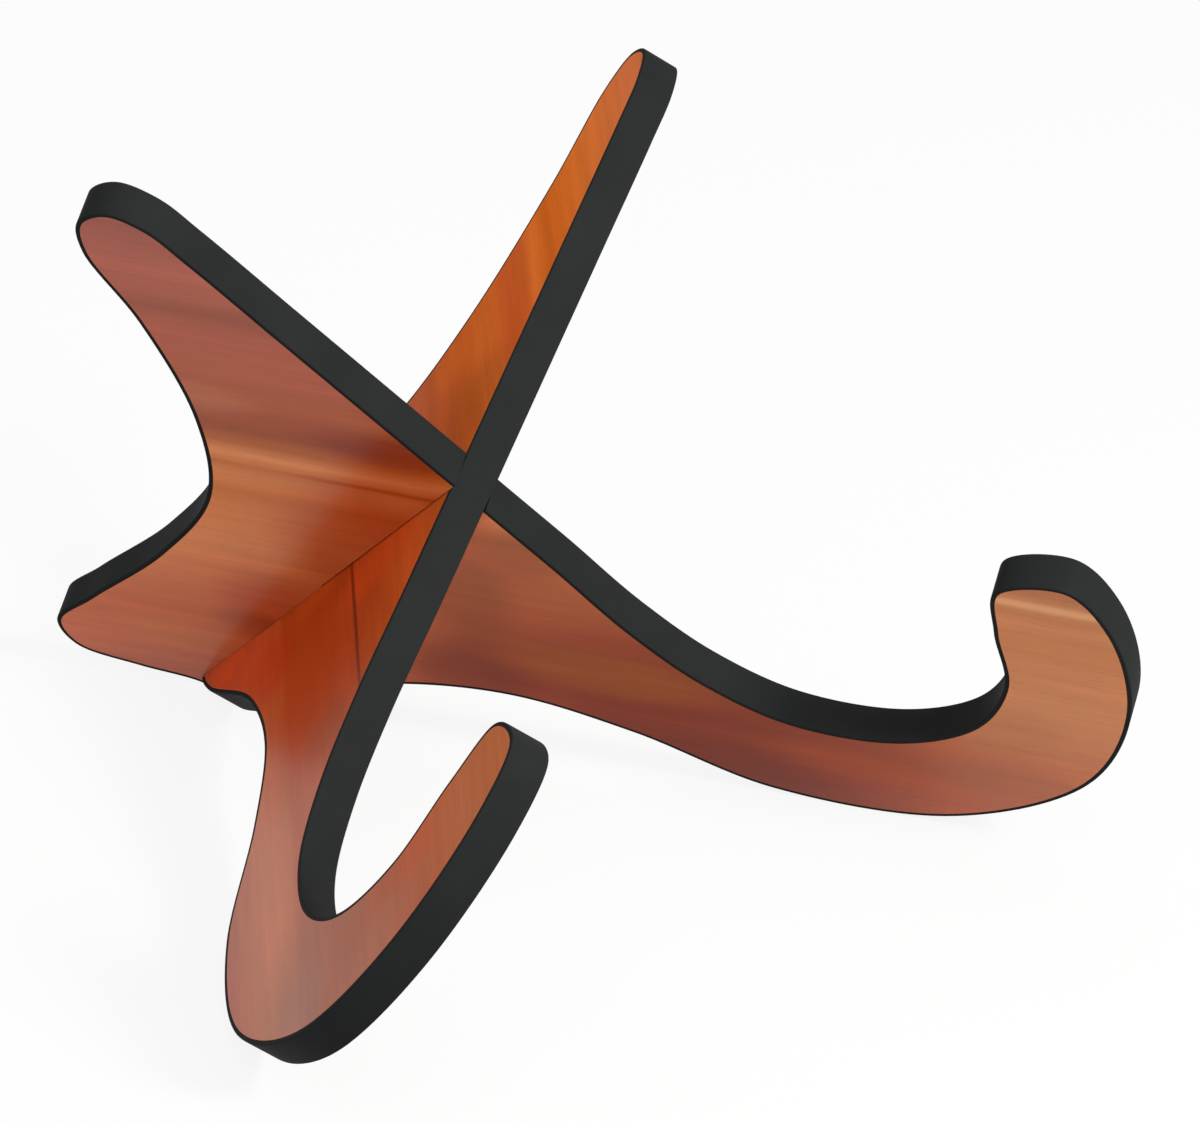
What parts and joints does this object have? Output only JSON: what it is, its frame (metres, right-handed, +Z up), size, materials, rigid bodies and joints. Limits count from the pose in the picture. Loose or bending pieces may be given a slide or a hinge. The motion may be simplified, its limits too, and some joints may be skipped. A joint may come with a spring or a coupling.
{
  "type": "ukulele stand",
  "caption": "Knock-down wooden ukulele stand: two black-edged boards that slot together as an X, with arms, hooked cradles and feet",
  "frame": {"origin": "centre of the bounding box, on the surface that the stand stands on", "axes": "+Z up, +Y to the back, +X to the right as seen from the front"},
  "size_m": [0.2324, 0.2468, 0.1706],
  "materials": {
    "wood_veneer": "satin lacquered reddish-brown veneer with straight grain",
    "plywood": "raw plywood, seen only in the slots",
    "black_edging": "matte black edge strip"
  },
  "bodies": {
    "left_board": {"left_board_core": "plywood", "left_board_upper_veneer": "wood_veneer", "left_board_lower_veneer": "wood_veneer", "left_board_edging": "black_edging"},
    "right_board": {"right_board_core": "plywood", "right_board_upper_veneer": "wood_veneer", "right_board_lower_veneer": "wood_veneer", "right_board_edging": "black_edging"}
  },
  "joints": [
    {"name": "slot_slide", "type": "slide", "parent": "left_board", "child": "right_board", "axis": [0, -0.7287, 0.6848], "range_m": [0, 0.067]}
  ]
}
